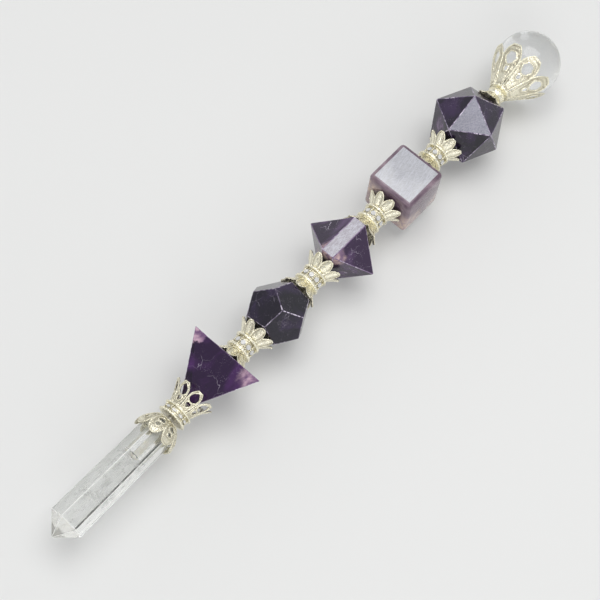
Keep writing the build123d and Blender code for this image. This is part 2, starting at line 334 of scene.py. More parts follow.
def new_group(name, output="Mask", **inputs):
    """A shader node group with one output. Each input is a vector or a number, as its default is."""
    tree = bpy.data.node_groups.new(name, "ShaderNodeTree")
    for label, value in inputs.items():
        kind = "NodeSocketVector" if isinstance(value, tuple) else "NodeSocketFloat"
        tree.interface.new_socket(label, in_out="INPUT", socket_type=kind).default_value = value
    tree.interface.new_socket(output, in_out="OUTPUT", socket_type="NodeSocketFloat")
    given = tree.nodes.new("NodeGroupInput")
    result = tree.nodes.new("NodeGroupOutput")
    return tree, given.outputs, result.inputs[0]


def use_group(tree, name, **inputs):
    """Adds a group, fills its inputs and gives its output."""
    made = tree.nodes.new("ShaderNodeGroup")
    made.node_tree = bpy.data.node_groups[name]
    for key, value in inputs.items():
        fill(tree, made.inputs[key], value)
    return made.outputs[0]


def object_place(tree):
    return shader_node(tree, "ShaderNodeTexCoord").outputs["Object"]


def maths(tree, operation, first, second, clamp=False):
    settings = {"operation": operation, "use_clamp": clamp}
    made = shader_node(tree, "ShaderNodeMath", settings, i0=first, i1=second)
    return made.outputs[0]


def vector_maths(tree, operation, first, second):
    return shader_node(tree, "ShaderNodeVectorMath", {"operation": operation}, i0=first, i1=second).outputs[0]


def level_between(tree, value, low, high, smoothly=False):
    """How far a value lies on its way from low to high, from 0 to 1."""
    settings = {"interpolation_type": "SMOOTHSTEP" if smoothly else "LINEAR"}
    made = shader_node(tree, "ShaderNodeMapRange", settings, Value=value, From_Min=low, From_Max=high)
    return made.outputs["Result"]


def scale_value(tree, value, low, high):
    """Carries a value from between 0 and 1 to between low and high."""
    made = shader_node(tree, "ShaderNodeMapRange", Value=value, To_Min=low, To_Max=high)
    return made.outputs["Result"]


def rgba(rgb):
    return (rgb[0], rgb[1], rgb[2], 1.0)


def mix_colour(tree, factor, first, second):
    """A blend of two colours, which are inputs 6 and 7 of the mix node."""
    made = shader_node(tree, "ShaderNodeMix", {"data_type": "RGBA"}, i0=factor, i6=first, i7=second)
    return made.outputs[2]


def bump(tree, height, strength, distance):
    made = shader_node(tree, "ShaderNodeBump", Strength=strength, Distance=distance, Height=height)
    return made.outputs["Normal"]


def gated(tree, mask, place_on, scale, detail, low, high, amount):
    """Keeps a mask only in the patches where a noise is high, and fades it by an amount."""
    patches = shader_node(tree, "ShaderNodeTexNoise", Vector=place_on, Scale=scale, Detail=detail)
    gate = level_between(tree, patches.outputs["Fac"], low, high)
    return maths(tree, "MULTIPLY", maths(tree, "MULTIPLY", mask, gate), amount, clamp=True)


# ---- Shader groups


def clouds_group():
    """Soft clouds in object space, as a mask between two levels of a noise."""
    tree, given, result = new_group("clouds", Scale=100.0, Detail=4.0, Stretch=1.0, Low=0.4, High=0.6,
                                    Shift=0.0)
    stretch = shader_node(tree, "ShaderNodeCombineXYZ", X=given["Stretch"], Y=1.0, Z=1.0)
    scaled = vector_maths(tree, "MULTIPLY", object_place(tree), stretch.outputs[0])
    noise = shader_node(tree, "ShaderNodeTexNoise", {"noise_dimensions": "4D"}, Vector=scaled,
                        W=given["Shift"], Scale=given["Scale"], Detail=given["Detail"], Distortion=0.6)
    tree.links.new(level_between(tree, noise.outputs["Fac"], given["Low"], given["High"], True), result)


def veins_group():
    """Thin, broken fracture lines in object space."""
    tree, given, result = new_group("fracture_veins", Scale=150.0, Width=0.03, Amount=0.5, Shift=0.0)
    here = object_place(tree)
    wander = shader_node(tree, "ShaderNodeTexNoise", Vector=here, Scale=260.0, Detail=3.0).outputs["Color"]
    push = shader_node(tree, "ShaderNodeVectorMath", {"operation": "SCALE"}, i0=wander, Scale=0.004)
    moved = vector_maths(tree, "ADD", vector_maths(tree, "ADD", here, push.outputs[0]), given["Shift"])
    cells = shader_node(tree, "ShaderNodeTexVoronoi", {"feature": "DISTANCE_TO_EDGE"}, Vector=moved,
                        Scale=given["Scale"])
    lines = level_between(tree, cells.outputs["Distance"], given["Width"], 0.0)
    tree.links.new(gated(tree, lines, moved, 190.0, 2.0, 0.52, 0.70, given["Amount"]), result)


def spot_group():
    """One pale zone about a place on the wand, with a ragged edge."""
    tree, given, result = new_group("pale_spot", Place=(0.0, 0.0, 0.0), Radius=0.004, Softness=0.002,
                                    Ragged=0.004)
    here = object_place(tree)
    reach = shader_node(tree, "ShaderNodeVectorMath", {"operation": "DISTANCE"}, i0=here, i1=given["Place"])
    noise = shader_node(tree, "ShaderNodeTexNoise", Vector=here, Scale=350.0, Detail=5.0, Roughness=0.7)
    wander = maths(tree, "MULTIPLY", noise.outputs["Fac"], given["Ragged"])
    ragged = maths(tree, "ADD", reach.outputs["Value"], wander)
    outer = maths(tree, "ADD", given["Radius"], given["Softness"])
    tree.links.new(level_between(tree, ragged, outer, given["Radius"], True), result)


def flecks_group():
    """Small bright flecks scattered in object space."""
    tree, given, result = new_group("flecks", Scale=900.0, Amount=0.5, Shift=0.0)
    moved = vector_maths(tree, "ADD", object_place(tree), given["Shift"])
    cells = shader_node(tree, "ShaderNodeTexVoronoi", Vector=moved, Scale=given["Scale"], Randomness=1.0)
    dots = level_between(tree, cells.outputs["Distance"], 0.26, 0.10)
    tree.links.new(gated(tree, dots, moved, 300.0, 3.0, 0.50, 0.66, given["Amount"]), result)


def scratches_group():
    """Fine parallel scratches, broken along their length, in object space."""
    tree, given, result = new_group("scratches", Scale=1500.0, Turn=0.0, Shift=0.0)
    turned = shader_node(tree, "ShaderNodeVectorRotate", {"rotation_type": "Z_AXIS"},
                         Vector=object_place(tree), Angle=given["Turn"])
    thin = vector_maths(tree, "MULTIPLY", turned.outputs[0], (0.12, 1.0, 1.0))
    noise = shader_node(tree, "ShaderNodeTexNoise", {"noise_dimensions": "4D"}, Vector=thin, W=given["Shift"],
                        Scale=given["Scale"], Detail=2.0, Roughness=0.6)
    tree.links.new(level_between(tree, noise.outputs["Fac"], 0.48, 0.68), result)


def painted_reflections_group():
    """Painted reflection: one random level for each facet, from the way the facet faces, standing in for
    light reflected inside the stone.
    """
    tree, given, result = new_group("painted_facet_reflections", output="Level", Shift=0.0)
    facing = shader_node(tree, "ShaderNodeTexCoord").outputs["Normal"]
    steps = vector_maths(tree, "SNAP", facing, (0.21, 0.21, 0.21))
    moved = vector_maths(tree, "ADD", steps, given["Shift"])
    level = shader_node(tree, "ShaderNodeTexWhiteNoise", Vector=moved)
    tree.links.new(level.outputs["Value"], result)


# ---- Materials


def blank_material(name):
    """A material with one Principled shader, returned with its tree and that shader's inputs."""
    material = bpy.data.materials.new(name)
    material.use_nodes = True
    tree = material.node_tree
    return material, tree, tree.nodes["Principled BSDF"].inputs


def amethyst_colour(tree, tones, spots, veins, shift):
    """Colour of purple quartz: dark and middle zones, painted facet reflections, pale spots, flecks and
    veins.
    """
    deep, middle, pale = [rgba(tone) for tone in tones]
    frost = rgba(colours().frost)
    zones = use_group(tree, "clouds", Scale=150.0, Detail=5.0, Stretch=0.7, Low=0.44, High=0.70, Shift=shift)
    reflection_levels = use_group(tree, "painted_facet_reflections", Shift=shift)
    cracks = use_group(tree, "fracture_veins", Scale=270.0, Width=0.016, Amount=veins, Shift=shift)
    flecks = use_group(tree, "flecks", Scale=2600.0, Amount=0.55 * veins, Shift=shift)
    now = mix_colour(tree, zones, deep, middle)
    # Painted reflection: each facet is lightened toward the middle tone by the way it faces
    now = mix_colour(tree, scale_value(tree, reflection_levels, 0.0, 0.25), now, middle)
    milk = use_group(tree, "clouds", Scale=520.0, Detail=6.0, Stretch=0.6, Low=0.36, High=0.68,
                     Shift=shift + 9)
    milky = mix_colour(tree, scale_value(tree, milk, 0.15, 1.0), middle, pale)
    for centre, radius, softness in spots:
        spot = use_group(tree, "pale_spot", Place=centre, Radius=radius * MM, Softness=softness * MM,
                         Ragged=4 * MM)
        now = mix_colour(tree, spot, now, milky)
    now = mix_colour(tree, flecks, now, frost)
    return mix_colour(tree, cracks, now, frost)


def amethyst(name, tones, spots, veins, shift):
    """Polished purple quartz. Spots are pale zones: a place, and a radius and a softness in millimetres."""
    material, tree, surface = blank_material(name)
    tree.links.new(amethyst_colour(tree, tones, spots, veins, shift), surface["Base Color"])
    pits = use_group(tree, "clouds", Scale=900.0, Detail=4.0, Low=0.35, High=0.75, Shift=shift)
    tree.links.new(scale_value(tree, pits, 0.08, 0.22), surface["Roughness"])
    tree.links.new(bump(tree, pits, 0.1, 0.0002), surface["Normal"])
    surface["IOR"].default_value = 1.55
    return material


def scuffed_highlit_facet(name, tones, veins, scuffs, shift):
    """A facet that was ground flat and has been worn since: paler, partly from fine straight scratches and
    partly as a painted highlight.
    """
    material, tree, surface = blank_material(name)
    under = amethyst_colour(tree, tones, [], veins, shift)
    fine = use_group(tree, "scratches", Scale=5200.0, Turn=0.5, Shift=shift)
    cross = use_group(tree, "scratches", Scale=3900.0, Turn=-0.2, Shift=shift + 2)
    both = maths(tree, "MAXIMUM", fine, cross)
    paler = scale_value(tree, both, 0.3 * scuffs, scuffs)
    tree.links.new(mix_colour(tree, paler, under, (0.60, 0.61, 0.68, 1)), surface["Base Color"])
    tree.links.new(scale_value(tree, both, 0.22, 0.5), surface["Roughness"])
    tree.links.new(bump(tree, both, 0.12, 0.0001), surface["Normal"])
    surface["Coat Weight"].default_value = 0.6
    surface["Coat Roughness"].default_value = 0.2
    return material


def stone_edge(name, middle, shift):
    """The worn edges of a stone: the stone's colour broken by pale chips."""
    material, tree, surface = blank_material(name)
    chips = use_group(tree, "clouds", Scale=1100.0, Detail=5.0, Low=0.42, High=0.58, Shift=shift)
    runs = use_group(tree, "clouds", Scale=160.0, Detail=2.0, Low=0.35, High=0.6, Shift=shift + 1)
    both = maths(tree, "MULTIPLY", chips, runs)
    tree.links.new(mix_colour(tree, both, rgba(middle), rgba(colours().frost)), surface["Base Color"])
    tree.links.new(scale_value(tree, both, 0.2, 0.55), surface["Roughness"])
    tree.links.new(bump(tree, chips, 0.3, 0.0002), surface["Normal"])
    surface["Coat Weight"].default_value = 0.2
    return material


def plated_metal():
    """Bright silver plate with a warm tint, painted shade in the hollows and on the backs of the stampings,
    random tarnish patches, and pitted all over.
    """
    material, tree, surface = blank_material("plated_metal")
    depth = shader_node(tree, "ShaderNodeAttribute", {"attribute_name": "hollow"}).outputs["Fac"]
    patches = use_group(tree, "clouds", Scale=420.0, Detail=5.0, Low=0.50, High=0.80, Shift=2.0)
    dents = use_group(tree, "clouds", Scale=1700.0, Detail=4.0, Low=0.3, High=0.7, Shift=5.0)
    # Painted shade from the hollow attribute, broken by the patches, then random tarnish patches on top
    dark = maths(tree, "MULTIPLY", depth, scale_value(tree, patches, 0.6, 1.0))
    stain_and_shade = maths(tree, "MAXIMUM", dark, scale_value(tree, patches, 0.0, 0.3))
    stain_and_shade_level = scale_value(tree, stain_and_shade, 0.0, 0.75)
    plate = mix_colour(tree, stain_and_shade_level, rgba(colours().metal), rgba(colours().tarnish_and_shade))
    tree.links.new(plate, surface["Base Color"])
    tree.links.new(scale_value(tree, dents, 0.16, 0.34), surface["Roughness"])
    tree.links.new(bump(tree, dents, 0.45, 0.00025), surface["Normal"])
    surface["Metallic"].default_value = 1.0
    return material


def rod_metal():
    """Plain drawn metal, with lines along the rod."""
    material, tree, surface = blank_material("rod_steel")
    lines = use_group(tree, "clouds", Scale=700.0, Detail=3.0, Stretch=0.08, Low=0.3, High=0.7, Shift=1.0)
    drawn = mix_colour(tree, lines, (0.42, 0.40, 0.36, 1), (0.62, 0.60, 0.55, 1))
    tree.links.new(drawn, surface["Base Color"])
    tree.links.new(scale_value(tree, lines, 0.25, 0.42), surface["Roughness"])
    surface["Metallic"].default_value = 1.0
    return material


def cement_material():
    """Resin cement, a little lumpy."""
    material, tree, surface = blank_material("cement")
    lumps = use_group(tree, "clouds", Scale=600.0, Detail=4.0, Low=0.3, High=0.7, Shift=7.0)
    resin = mix_colour(tree, lumps, rgba(colours().cement), (0.95, 0.94, 0.90, 1))
    tree.links.new(resin, surface["Base Color"])
    tree.links.new(bump(tree, lumps, 0.3, 0.0003), surface["Normal"])
    surface["Roughness"].default_value = 0.45
    return material


def clear_material(name, tint, rough_low, rough_high, clearness, shift):
    """Clear quartz or glass with faint polishing marks. Clearness below 1 leaves it a little milky."""
    material, tree, surface = blank_material(name)
    marks = use_group(tree, "clouds", Scale=500.0, Detail=5.0, Stretch=0.3, Low=0.4, High=0.8, Shift=shift)
    tree.links.new(mix_colour(tree, marks, rgba(tint), (1.0, 1.0, 1.0, 1.0)), surface["Base Color"])
    tree.links.new(scale_value(tree, marks, rough_low, rough_high), surface["Roughness"])
    tree.links.new(bump(tree, marks, 0.05, 0.0001), surface["Normal"])
    surface["IOR"].default_value = 1.5
    surface["Transmission Weight"].default_value = clearness
    return material


def veil_material():
    """Milky veils inside the quartz: white wisps that fade out."""
    material, tree, surface = blank_material("milky_veil")
    wisps = use_group(tree, "clouds", Scale=380.0, Detail=7.0, Stretch=0.8, Low=0.46, High=0.74, Shift=4.0)
    milk = mix_colour(tree, wisps, (0.80, 0.80, 0.78, 1), (0.98, 0.98, 0.96, 1))
    tree.links.new(milk, surface["Base Color"])
    tree.links.new(scale_value(tree, wisps, 0.0, 0.6), surface["Alpha"])
    surface["Roughness"].default_value = 0.6
    return material


def floor_material():
    material, tree, surface = blank_material("studio_floor")
    tone = use_group(tree, "clouds", Scale=3.0, Detail=2.0, Low=0.2, High=0.8, Shift=0.0)
    base = colours().floor
    darker = [0.97 * value for value in base]
    tree.links.new(mix_colour(tree, tone, rgba(darker), rgba(base)), surface["Base Color"])
    surface["Roughness"].default_value = 0.8
    return material


# ---- Stamped caps


def mark_painted_shade(piece, hollow_of):
    """Stores a painted shade level for each vertex from how deep in the relief it lies, from 0 on a rim to 1
    in a hollow.
    """
    levels = [min(max(hollow_of(corner.co), 0), 1) for corner in piece.data.vertices]
    attribute = piece.data.attributes.new("hollow", "FLOAT", "POINT")
    attribute.data.foreach_set("value", levels)


def leaf_width(base):
    """Width along a leaf, as a share of its widest, from its base at 0 to its tip at 1."""
    widest = 0.55
    def share(along):
        if along < widest:
            return base + (1 - base) * math.sin(along / widest * math.pi / 2)
        fall = (along - widest) / (1 - widest)
        return max(math.sqrt(max(1 - fall ** 1.7, 0)), 0.16)
    return share


def loop_width(base, widest):
    """Width along a round-ended petal, as a share of its widest."""
    def share(along):
        if along < widest:
            rise = along / widest
            return base + (1 - base) * rise * rise * (3 - 2 * rise)
        fall = (along - widest) / (1 - widest)
        return max(math.sqrt(max(1 - fall * fall, 0)), 0.42)
    return share


def trumpet(hub_radius, depth, tip_radius, hollow):
    """Outline of a flaring bell: place and outward slope at each share of its length."""
    start = Vector((hub_radius, 0))
    end = Vector((tip_radius, depth))
    control = 2 * ((start + end) / 2 - Vector((hollow, 0))) - (start + end) / 2
    def at(along):
        first = start.lerp(control, along)
        second = control.lerp(end, along)
        return first.lerp(second, along), (second - first).normalized()
    return at, (end - start).length


def cone_onto_ball(hub_radius, centre_height, hug_radius, end_height):
    """Outline of a cone that runs onto a ball and then follows it up to a height."""
    distance = math.hypot(hub_radius, centre_height)
    contact = math.acos(hug_radius / distance) + math.atan2(hub_radius, centre_height)
    start = Vector((hub_radius, 0))
    touch = Vector((hug_radius * math.sin(contact), centre_height - hug_radius * math.cos(contact)))
    end_angle = math.acos((centre_height - end_height) / hug_radius)
    cone = (touch - start).length
    hug = hug_radius * (end_angle - contact)
    def at(along):
        run = along * (cone + hug)
        if run < cone:
            return start.lerp(touch, run / cone), (touch - start).normalized()
        angle = contact + (run - cone) / hug_radius
        here = Vector((hug_radius * math.sin(angle), centre_height - hug_radius * math.cos(angle)))
        return here, Vector((math.cos(angle), math.sin(angle)))
    return at, cone + hug


def pressed_onto(piece, outline, run):
    """Presses a flat stamping round a bell: its length follows the bell's outline."""
    for corner in piece.data.vertices:
        here, along = outline(min(max(corner.co.y / run, 0), 1))
        beyond = corner.co.y - min(max(corner.co.y, 0), run)
        radius = here.x + along.x * beyond + along.y * corner.co.z
        height = here.y + along.y * beyond - along.x * corner.co.z
        angle = corner.co.x / here.x
        corner.co = Vector((radius * math.cos(angle), radius * math.sin(angle), height))
    piece.data.update()


def pick_hole_rims(petal, run, width, share):
    """Selects the edges of the pierced holes and leaves out the outline, in edit mode."""
    mesh = bmesh.from_edit_mesh(petal.data)
    for corner in mesh.verts:
        along = corner.co.y / run
        inside = 0.01 < along < 0.99 and abs(corner.co.x) < 0.49 * width * share(along)
        corner.select_set(corner.is_boundary and inside)
    mesh.select_flush_mode()
    bmesh.update_edit_mesh(petal.data)


def in_hole(centre, half_width, middle, half_length):
    return math.hypot(centre.x / half_width, (centre.y - middle) / half_length) < 1


def stamped_petal(name, run, width, share, columns, rows, rim, holes=(), vein=0.0):
    """One flat petal: a grid drawn in to its outline row by row, with pierced holes and raised rims.

    Each hole is an ellipse, given by its half width, its middle and its half length as shares.
    """
    deselect()
    bpy.ops.mesh.primitive_grid_add(x_subdivisions=columns, y_subdivisions=rows, size=1,
                                    location=(0, 0.5, 0))
    petal = added(name)
    apply_transform()
    open_edit(petal)
    for half_width, middle, half_length in holes:
        pick_faces(petal, lambda centre, normal: in_hole(centre, half_width, middle, half_length))
        bpy.ops.mesh.delete(type="FACE")
    bpy.ops.mesh.select_mode(type="VERT")
    if vein:
        pick_corners(petal, lambda place: abs(place.x) < 0.25 / columns and place.y > 0.1)
        bpy.ops.transform.translate(value=(0, 0, vein))
    for row in range(rows + 1):
        along = row / rows
        pick_corners(petal, lambda place: abs(place.y - along) < 0.25 / rows)
        bpy.ops.transform.resize(value=(width * share(along), 1, 1), center_override=(0, along, 0))
    bpy.ops.mesh.select_all(action="SELECT")
    bpy.ops.transform.resize(value=(1, run, 1), center_override=(0, 0, 0))
    if holes:
        pick_hole_rims(petal, run, width, share)
        bpy.ops.mesh.vertices_smooth(factor=0.5, repeat=4)
    bpy.ops.mesh.select_mode(type="EDGE")
    bpy.ops.mesh.select_non_manifold(extend=False)
    bpy.ops.mesh.select_more()
    bpy.ops.transform.translate(value=(0, 0, -rim / 2))
    bpy.ops.mesh.select_non_manifold(extend=False)
    bpy.ops.transform.translate(value=(0, 0, 1.5 * rim))
    bpy.ops.mesh.select_mode(type="VERT")
    close_edit()
    add_modifier(petal, "SOLIDIFY", thickness=sizes().sheet, offset=0)
    subdivided(petal, 2)
    # Painted shade: grooves and the back of each petal are darkened, ridges less than the flat
    mark_painted_shade(petal, lambda place: relief_shade_level(place.z - sizes().sheet / 2, rim))
    return petal


# Painted shade levels on the back of a petal and on its flat
BACK_PAINTED_SHADE = 0.7
FLAT_PAINTED_SHADE = 0.25


def relief_shade_level(height, rim):
    """How dark the painted shade on the plate is at a height over the flat of a petal: grooves and the back
    are darkest.
    """
    if height < -sizes().sheet / 2:
        return BACK_PAINTED_SHADE
    groove = min(max(-height / (0.2 * rim), 0), 1)
    ridge = min(max(height / (0.3 * rim), 0), 1)
    return FLAT_PAINTED_SHADE + (1 - FLAT_PAINTED_SHADE) * groove - FLAT_PAINTED_SHADE * ridge


def ring_plate(name, outer, inner, base, height, bevel):
    """A drilled round plate with softened rims, standing on the height called base."""
    deselect()
    middle = base + height / 2
    bpy.ops.mesh.primitive_cylinder_add(vertices=48, radius=outer, depth=height, location=(0, 0, middle))
    plate = added(name)
    apply_transform()
    open_edit(plate)
    pick_faces(plate, lambda centre, normal: abs(normal.z) > 0.9)
    bpy.ops.mesh.inset(thickness=outer - inner, use_even_offset=True)
    bpy.ops.mesh.bridge_edge_loops()
    close_edit()
    fix_normals(plate)
    if bevel:
        add_modifier(plate, "BEVEL", width=bevel, segments=3, limit_method="ANGLE",
                     angle_limit=math.radians(50))
    smooth(plate)
    return plate


def bead_ring(name, radius, height, count, bead):
    deselect()
    bpy.ops.mesh.primitive_uv_sphere_add(segments=10, ring_count=6, radius=bead, location=(radius, 0, height))
    one = added(name)
    apply_transform()
    work_on(one)
    bpy.ops.object.shade_smooth()
    return ring_of(one, count)


def stamped_cap(name, petal, outline, run, hub_radius, collar):
    """Presses the petal round its bell and rings it about a hub plate as high as the collar."""
    pressed_onto(petal, outline, run)
    fix_normals(petal)
    smooth(petal, 60)
    petals = ring_of(petal, PETALS)
    hub = ring_plate(name, hub_radius, BORE_RADIUS, 0, collar, 0.12 * MM)
    return joined(name, [hub, petals])


def cap_box(node):
    """Depth and tip radius of a cap's CAD node."""
    low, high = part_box(node)
    return high.x - low.x, (high.z - low.z) / 2


def lotus_cap(name, node, petal_width):
    """A cap of pointed, veined leaves, built to the box of its CAD node."""
    depth, tip_radius = cap_box(node)
    hub_radius = 0.47 * tip_radius
    outline, run = trumpet(hub_radius, depth, tip_radius - 0.15 * MM, 0.35 * MM)
    petal = stamped_petal(name, run, petal_width, leaf_width(0.66), 8, 14, sizes().rim_relief,
                          vein=sizes().vein_relief)
    cap = stamped_cap(name, petal, outline, run, hub_radius + 0.22 * MM, 0.55 * MM)
    beads = bead_ring(name, hub_radius + 0.3 * MM, 0.75 * MM, 2 * PETALS, 0.2 * MM)
    return joined(name, [cap, beads])


def flower_cap(node):
    """The cap over the back of the quartz: pierced petals that stand a little off the bar."""
    depth, tip_radius = cap_box(node)
    outline, run = trumpet(0.52 * tip_radius, depth, tip_radius - 0.25 * MM, -0.85 * MM)
    holes = [(0.19, 0.27, 0.085), (0.13, 0.52, 0.1)]
    petal = stamped_petal(node, run, 4.5 * MM, leaf_width(0.58), 10, 18, 0.2 * MM, holes)
    cap = stamped_cap(node, petal, outline, run, 0.54 * tip_radius, 0.7 * MM)
    beads = bead_ring(node, 0.56 * tip_radius, 0.85 * MM, 3 * PETALS, 0.22 * MM)
    return joined(node, [cap, beads])


def loop_cap(node):
    """The openwork cap over the tetrahedron's blunted corner."""
    depth, tip_radius = cap_box(node)
    outline, run = trumpet(0.52 * tip_radius, depth, tip_radius - 0.1 * MM, 0.35 * MM)
    holes = [(0.29, 0.68, 0.2), (0.18, 0.32, 0.1)]
    petal = stamped_petal(node, run, 3.6 * MM, loop_width(0.66, 0.66), 10, 18, 0.2 * MM, holes)
    return stamped_cap(node, petal, outline, run, 0.54 * tip_radius, 0.8 * MM)


def ball_cap(node):
    """The openwork cap that holds the ball."""
    low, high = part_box(node)
    ball_low, ball_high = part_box("crystal_ball")
    ball_radius = (ball_high.z - ball_low.z) / 2
    centre_height = high.x - (ball_low.x + ball_radius)
    hug_radius = ball_radius + 0.2 * MM + sizes().sheet / 2
    outline, run = cone_onto_ball(3.0 * MM, centre_height, hug_radius, high.x - low.x)
    holes = [(0.21, 0.68, 0.125), (0.12, 0.42, 0.06)]
    petal = stamped_petal(node, run, 6.5 * MM, loop_width(0.36, 0.68), 12, 24, 0.28 * MM, holes)
    cap = stamped_cap(node, petal, outline, run, 3.1 * MM, 0.8 * MM)
    beads = bead_ring(node, 3.2 * MM, 0.9 * MM, 2 * PETALS, 0.26 * MM)
    return joined(node, [cap, beads])


# ---- Rondelles


def rondelle_spool(node):
    """A drilled drum with two beaded rims and a rounded post on each side of every crystal."""
    low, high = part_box(node)
    run = high.x - low.x
    radius = (high.z - low.z) / 2
    rim = 0.16 * run
    drum_radius = radius - 0.78 * MM
    drum = ring_plate(node, drum_radius, BORE_RADIUS, 0, run, 0)
    first_rim = ring_plate(node, radius, drum_radius - 0.1 * MM, 0, rim, 0.12 * MM)
    last_rim = ring_plate(node, radius, drum_radius - 0.1 * MM, run - rim, rim, 0.12 * MM)
    count = sizes().bead_count
    bead = sizes().bead_radius
    first_beads = bead_ring(node, radius - bead / 2, rim / 2, count, bead)
    last_beads = bead_ring(node, radius - bead / 2, run - rim / 2, count, bead)
    rows = []
    bead_rows = max(round((run - 2 * rim) / (0.62 * MM)), 2)
    for row in range(bead_rows):
        height = rim + (row + 0.5) * (run - 2 * rim) / bead_rows
        rows.append(bead_ring(node, drum_radius + 0.24 * MM, height, sizes().crystal_count, 0.27 * MM))
    posts = joined(node, rows)
    posts.data.transform(Matrix.Rotation(math.pi / sizes().crystal_count, 4, "Z"))
    # Painted shade: the whole drum between the rims gets the darkest level
    mark_painted_shade(drum, lambda corner: 1)
    return joined(node, [drum, first_rim, last_rim, first_beads, last_beads, posts])


def rondelle_crystals(node):
    """The cut crystals of one rondelle: a girdle, a sloping crown and a flat table."""
    low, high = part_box(node)
    run = high.x - low.x
    radius = (high.z - low.z) / 2
    seat = radius - 0.42 * MM
    deselect()
    bpy.ops.mesh.primitive_cylinder_add(vertices=8, radius=0.74 * MM, depth=0.2 * MM)
    crystal = added(node)
    open_edit(crystal)
    pick_faces(crystal, lambda centre, normal: normal.z > 0.9)
    raise_faces(0.28 * MM, 0.55)
    bpy.ops.mesh.select_all(action="SELECT")
    bpy.ops.transform.resize(value=(run / (2.9 * MM), 1, 1), center_override=(0, 0, 0))
    close_edit()
    standing = Matrix((Vector((0, 0, 1)), Vector((0, 1, 0)), Vector((-1, 0, 0)))).to_4x4()
    crystal.data.transform(Matrix.Translation((seat, 0, run / 2)) @ standing.inverted())
    crystal.data.update()
    fix_normals(crystal)
    return ring_of(crystal, sizes().crystal_count)


# ---- Stage


def studio_world():
    """A plain grey room, pale at the horizon and darker overhead."""
    world = bpy.data.worlds.new("studio")
    world.use_nodes = True
    tree = world.node_tree
    direction = shader_node(tree, "ShaderNodeTexCoord").outputs["Generated"]
    height = shader_node(tree, "ShaderNodeSeparateXYZ", Vector=direction).outputs["Z"]
    tree.links.new(scale_value(tree, height, 0.84, 0.34), tree.nodes["Background"].inputs["Strength"])
    tree.nodes["Background"].inputs["Color"].default_value = (0.98, 0.99, 1.0, 1)
    return world


def add_lamp(name, place_at, target, size, power):
    data = bpy.data.lights.new(name, "AREA")
    data.shape = "RECTANGLE"
    data.energy = power
    data.size, data.size_y = size
    lamp = bpy.data.objects.new(name, data)
    bpy.context.scene.collection.objects.link(lamp)
    lamp.location = place_at
    lamp.rotation_euler = (target - place_at).to_track_quat("-Z", "Y").to_euler()
    return lamp


def add_camera(target, looking, distance, roll):
    """A camera that looks at a target from a distance, turned about its own line of sight by a roll."""
    data = bpy.data.cameras.new("camera")
    data.lens = CAMERA_LENS
    data.sensor_width = CAMERA_SENSOR
    data.clip_start = 0.01
    camera = bpy.data.objects.new("camera", data)
    bpy.context.scene.collection.objects.link(camera)
    camera.location = target - looking * distance
    camera.rotation_mode = "QUATERNION"
    camera.rotation_quaternion = looking.to_track_quat("-Z", "Y") @ Quaternion((0, 0, 1), roll)
    bpy.context.scene.camera = camera


class WAND_OT_stage(Operator):
    """Add the floor, the lights, the world and the camera"""

    bl_idname = "wand.stage"
    bl_label = "Stage"

    def execute(self, context):
        deselect()
        bpy.ops.mesh.primitive_plane_add(size=16)
        floor = added("studio_floor")
        floor.data.materials.append(floor_material())

        context.scene.world = studio_world()
        target = Vector((12.4 * MM, 2.0 * MM, AXIS_HEIGHT))
        add_lamp("softbox", target + Vector((-0.15, -0.02, 0.95)) * 0.9, target, (0.75, 0.6), 4.2)
        add_lamp("fill", target + Vector((0.75, 0.65, 0.6)), target, (0.7, 0.7), 2.5)
        looking = Vector((-0.3488, -0.2357, -0.9071)).normalized()
        add_camera(target, looking, CAMERA_DISTANCE, CAMERA_ROLL)
        context.scene.view_settings.view_transform = "Standard"
        return {"FINISHED"}


class WAND_OT_groups(Operator):
    """Build the shader groups and the shared materials, and finish the rod and the ball's cement"""

    bl_idname = "wand.groups"
    bl_label = "Shared finishes"

    def execute(self, context):
        for build in (clouds_group, veins_group, spot_group, flecks_group, scratches_group, painted_reflections_group):
            build()
        plated_metal()
        clear_material("cut_crystals", (0.95, 0.96, 0.98), 0.02, 0.1, 0.4, 1.0)
        for node, material in (("core_rod", rod_metal()), ("ball_socket_cement", cement_material())):
            frame["nodes"][node].data.materials.clear()
            frame["nodes"][node].data.materials.append(material)
        return {"FINISHED"}


# ---- Quartz point


def drill_from_back(quartz, radius, depth):
    """Sinks a six-sided hole with a pointed bottom into the back face, in edit mode."""
    bpy.ops.mesh.select_mode(type="FACE")
    pick_faces(quartz, lambda centre, normal: normal.z < -0.99 and abs(centre.z) < 0.01 * MM)
    bpy.ops.mesh.inset(thickness=SEAT_RADIUS * 0.866 - radius - sizes().quartz_bevel)
    raise_faces(depth - DRILL_POINT)
    raise_faces(DRILL_POINT, 0.15)


